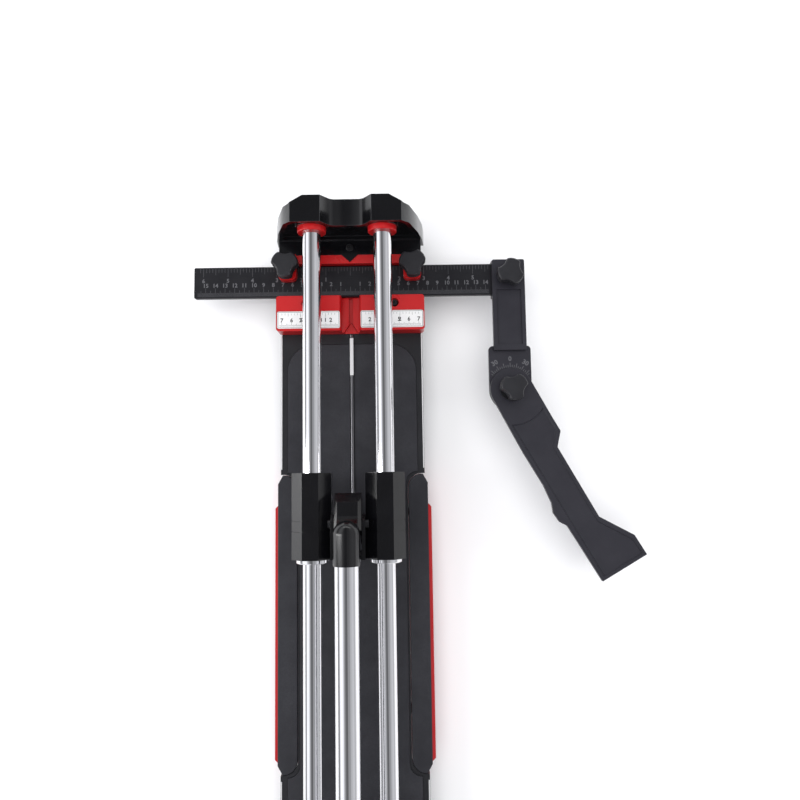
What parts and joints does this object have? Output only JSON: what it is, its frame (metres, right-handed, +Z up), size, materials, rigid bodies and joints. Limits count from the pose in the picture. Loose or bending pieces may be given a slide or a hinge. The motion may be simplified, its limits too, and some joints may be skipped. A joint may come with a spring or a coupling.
{
  "type": "manual tile cutter",
  "caption": "Long manual tile cutter: padded bed with side supports, twin guide rails, a lever carriage with scoring wheel and breaker foot, red fence, sliding ruler and angle arm.",
  "frame": {"origin": "middle of the centre foot's underside, on the floor below the middle of the two side supports", "axes": "+Z up, +Y along the rails from the user towards the fence, +X to the right across the bed"},
  "size_m": [0.4546, 0.8038, 0.1505],
  "materials": {
    "die_cast_black": "gloss black painted die casting, shallow facets with bright edges",
    "plate_black": "satin black powder coat",
    "mat_rubber": "dark grey rubber with a fine stipple",
    "foot_rubber": "black rubber",
    "chrome": "bright chrome plate on drawn tube",
    "steel": "turned steel",
    "dark_steel": "black oxide steel fasteners",
    "carbide": "ground hard metal",
    "red_plastic": "red moulded plastic, slight gloss",
    "red_paint": "red powder coat",
    "scale_white": "white scale with black ticks and figures",
    "ruler_black": "black anodised bar with engraved ticks",
    "arm_black": "satin black reinforced plastic",
    "knob_black": "dark grey moulded plastic",
    "grip_rubber": "black ribbed rubber"
  },
  "bodies": {
    "bed": {"base_plate": "plate_black", "left_bed_mat": "mat_rubber", "right_bed_mat": "mat_rubber", "breaker_bar": "steel", "left_beam": "plate_black", "right_beam": "plate_black", "crossmember": "plate_black", "centre_foot": "foot_rubber", "corner_feet": "foot_rubber", "foot_screws": "dark_steel", "rear_bracket": "die_cast_black", "front_bracket": "die_cast_black", "left_rail": "chrome", "right_rail": "chrome", "rail_screws": "dark_steel", "rear_rail_collars": "red_plastic", "front_rail_collars": "red_plastic", "bracket_screws": "dark_steel", "fence": "red_plastic", "left_scale_plate": "scale_white", "right_scale_plate": "scale_white", "button_screws": "dark_steel", "ruler_keeper": "red_plastic", "pointer": "die_cast_black"},
    "left_support": {"left_support_frame": "red_paint", "left_support_pad": "mat_rubber", "left_support_rods": "steel"},
    "right_support": {"right_support_frame": "red_paint", "right_support_pad": "mat_rubber", "right_support_rods": "steel"},
    "carriage": {"left_housing": "die_cast_black", "right_housing": "die_cast_black", "left_bushes": "arm_black", "right_bushes": "arm_black", "end_rings": "chrome", "carriage_bridge": "die_cast_black", "bridge_screws": "dark_steel", "pivot_pin": "steel", "bumper": "foot_rubber"},
    "lever": {"lever_hub": "die_cast_black", "socket_screw": "dark_steel", "handle_tube": "chrome", "handle_grip": "grip_rubber", "handle_cap": "grip_rubber", "wheel_holder": "plate_black", "holder_screw": "dark_steel", "wheel_axle": "steel", "foot_pin": "steel"},
    "wheel": {"scoring_wheel": "carbide"},
    "breaker": {"breaker_foot": "plate_black", "breaker_pads": "foot_rubber"},
    "ruler": {"ruler_bar": "ruler_black"},
    "arm": {"arm_link": "arm_black", "arm_keeper": "arm_black"},
    "blade": {"angle_blade": "arm_black", "pivot_washer": "dark_steel"},
    "left_knob": {"left_ruler_knob": "knob_black"},
    "right_knob": {"right_ruler_knob": "knob_black"},
    "arm_clamp": {"arm_knob": "knob_black"},
    "angle_clamp": {"angle_knob": "knob_black"}
  },
  "joints": [
    {"name": "left_support_slide", "type": "slide", "parent": "bed", "child": "left_support", "axis": [-1, 0, 0], "range_m": [0, 0.07]},
    {"name": "right_support_slide", "type": "slide", "parent": "bed", "child": "right_support", "axis": [1, 0, 0], "range_m": [0, 0.07]},
    {"name": "carriage_slide", "type": "slide", "parent": "bed", "child": "carriage", "axis": [0, 1, 0], "range_m": [-0.404, 0.185]},
    {"name": "handle_pivot", "type": "hinge", "parent": "carriage", "child": "lever", "pos_m": [0, 0.1025, 0.109], "axis": [-1, 0, 0], "range_deg": [0, 45]},
    {"name": "wheel_spin", "type": "hinge", "parent": "lever", "child": "wheel", "pos_m": [0, 0.118, 0.063], "axis": [1, 0, 0], "continuous": true},
    {"name": "breaker_pivot", "type": "hinge", "parent": "lever", "child": "breaker", "pos_m": [0, 0.0945, 0.071], "axis": [-1, 0, 0], "range_deg": [-45, 0]},
    {"name": "ruler_slide", "type": "slide", "parent": "bed", "child": "ruler", "axis": [1, 0, 0], "range_m": [-0.025, 0.08]},
    {"name": "arm_slide", "type": "slide", "parent": "ruler", "child": "arm", "axis": [1, 0, 0], "range_m": [-0.036, 0]},
    {"name": "blade_pivot", "type": "hinge", "parent": "arm", "child": "blade", "pos_m": [0.163, 0.232, 0.057], "axis": [0, 0, 1], "range_deg": [-31, 29]},
    {"name": "left_knob_turn", "type": "hinge", "parent": "bed", "child": "left_knob", "pos_m": [-0.064, 0.35884, 0.064], "axis": [0, 0, 1], "continuous": true},
    {"name": "right_knob_turn", "type": "hinge", "parent": "bed", "child": "right_knob", "pos_m": [0.064, 0.35884, 0.064], "axis": [0, 0, 1], "continuous": true},
    {"name": "arm_knob_turn", "type": "hinge", "parent": "arm", "child": "arm_clamp", "pos_m": [0.163, 0.349, 0.06], "axis": [0, 0, 1], "continuous": true},
    {"name": "angle_knob_turn", "type": "hinge", "parent": "arm", "child": "angle_clamp", "pos_m": [0.163, 0.232, 0.06], "axis": [0, 0, 1], "continuous": true}
  ],
  "couplings": [
    {"joint": "breaker_pivot", "follows": "handle_pivot", "ratio": -1}
  ]
}
